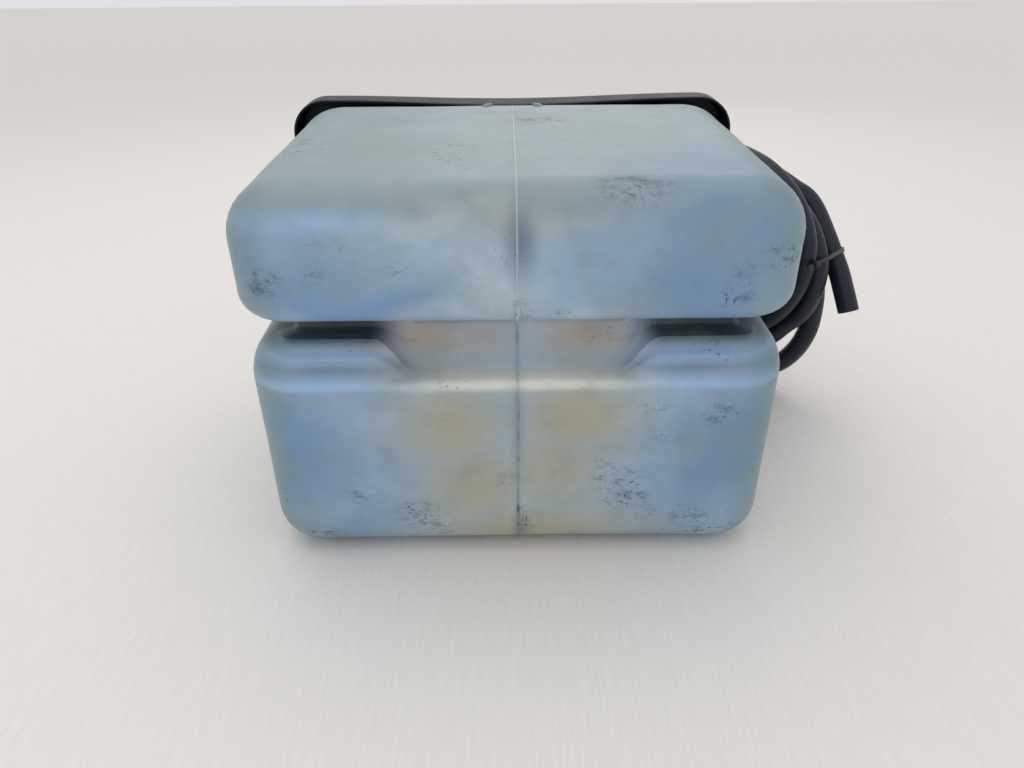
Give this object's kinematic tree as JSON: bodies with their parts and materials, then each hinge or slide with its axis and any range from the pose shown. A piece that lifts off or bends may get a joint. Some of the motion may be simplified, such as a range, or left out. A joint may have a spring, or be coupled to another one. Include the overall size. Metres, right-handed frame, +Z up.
{
  "type": "expansion vessel",
  "caption": "Waisted translucent plastic header tank with a black tray cover, screw filler cap with relief valve, level sender and a coiled rubber hose.",
  "frame": {"origin": "on the floor under the middle of the vessel without its free hose", "axes": "+Z up as it lies, +X across the long side, +Y towards the cover and the filler cap, which is up in service"},
  "size_m": [0.4393, 0.3844, 0.2572],
  "materials": {
    "tank_plastic": "aged translucent natural polyethylene, blue-green cast, satin",
    "cover_plastic": "moulded black polypropylene, fine grain",
    "cap_plastic": "black glass-filled nylon",
    "valve_brass": "turned brass",
    "spring_steel": "spring steel",
    "zinc_steel": "zinc plated steel",
    "seal_rubber": "black EPDM",
    "hose_rubber": "smooth black rubber hose, satin",
    "float_foam": "closed-cell foam",
    "tie_plastic": "black nylon"
  },
  "bodies": {
    "root": {"tank_shell": "tank_plastic", "rear_cover": "cover_plastic", "sender_head": "cap_plastic", "sender_gasket": "seal_rubber", "sender_terminal_1": "zinc_steel", "sender_terminal_2": "zinc_steel", "float_stop": "zinc_steel", "outlet_fitting": "cap_plastic", "outlet_seal": "seal_rubber", "dip_tube": "cap_plastic", "dip_strainer": "cap_plastic", "hose_clamp": "spring_steel", "hose_cuff": "hose_rubber", "hose_run": "hose_rubber", "hose_coil": "hose_rubber", "hose_tail": "hose_rubber", "cable_tie": "tie_plastic", "cover_screw_1": "zinc_steel", "cover_screw_2": "zinc_steel", "cover_screw_3": "zinc_steel", "cover_screw_4": "zinc_steel", "cover_screw_5": "zinc_steel", "cover_screw_6": "zinc_steel", "cover_washer_1": "zinc_steel", "cover_washer_2": "zinc_steel", "cover_washer_3": "zinc_steel", "cover_washer_4": "zinc_steel", "cover_washer_5": "zinc_steel", "cover_washer_6": "zinc_steel", "sender_screw_1": "zinc_steel", "sender_screw_2": "zinc_steel", "sender_screw_3": "zinc_steel", "sender_screw_4": "zinc_steel"},
    "cap_lift": {"cap_insert": "cap_plastic", "cap_seal": "seal_rubber", "relief_spring": "spring_steel"},
    "cap": {"filler_cap": "cap_plastic"},
    "relief": {"relief_disc": "valve_brass"},
    "vacuum": {"vacuum_valve": "valve_brass"},
    "float": {"level_float": "float_foam"},
    "clamp_screw": {"clamp_screw": "zinc_steel"}
  },
  "joints": [
    {"name": "cap_rise", "type": "slide", "parent": "root", "child": "cap_lift", "axis": [0, 0.9974, 0.0721], "range_m": [0, 0.01205]},
    {"name": "cap_turn", "type": "hinge", "parent": "cap_lift", "child": "cap", "pos_m": [0, 0.12838, 0.10202], "axis": [0, 0.9974, 0.0721], "range_deg": [0, 1080]},
    {"name": "relief_lift", "type": "slide", "parent": "cap_lift", "child": "relief", "axis": [0, 0.9974, 0.0721], "range_m": [0, 0.004], "stiffness_N_per_m": 4400, "springref_m": -0.004, "deforming": ["relief_spring"]},
    {"name": "vacuum_drop", "type": "slide", "parent": "relief", "child": "vacuum", "axis": [0, -0.9974, -0.0721], "range_m": [0, 0.002], "stiffness_N_per_m": 60, "springref_m": -0.002},
    {"name": "float_slide", "type": "slide", "parent": "root", "child": "float", "axis": [0, 0.9974, 0.0721], "range_m": [0, 0.144]},
    {"name": "clamp_turn", "type": "hinge", "parent": "root", "child": "clamp_screw", "pos_m": [0.03, 0.13421, 0.20029], "axis": [1, 0, 0], "continuous": true}
  ],
  "couplings": [
    {"joint": "cap_rise", "follows": "cap_turn", "m_per_rad": 0.00063662}
  ]
}
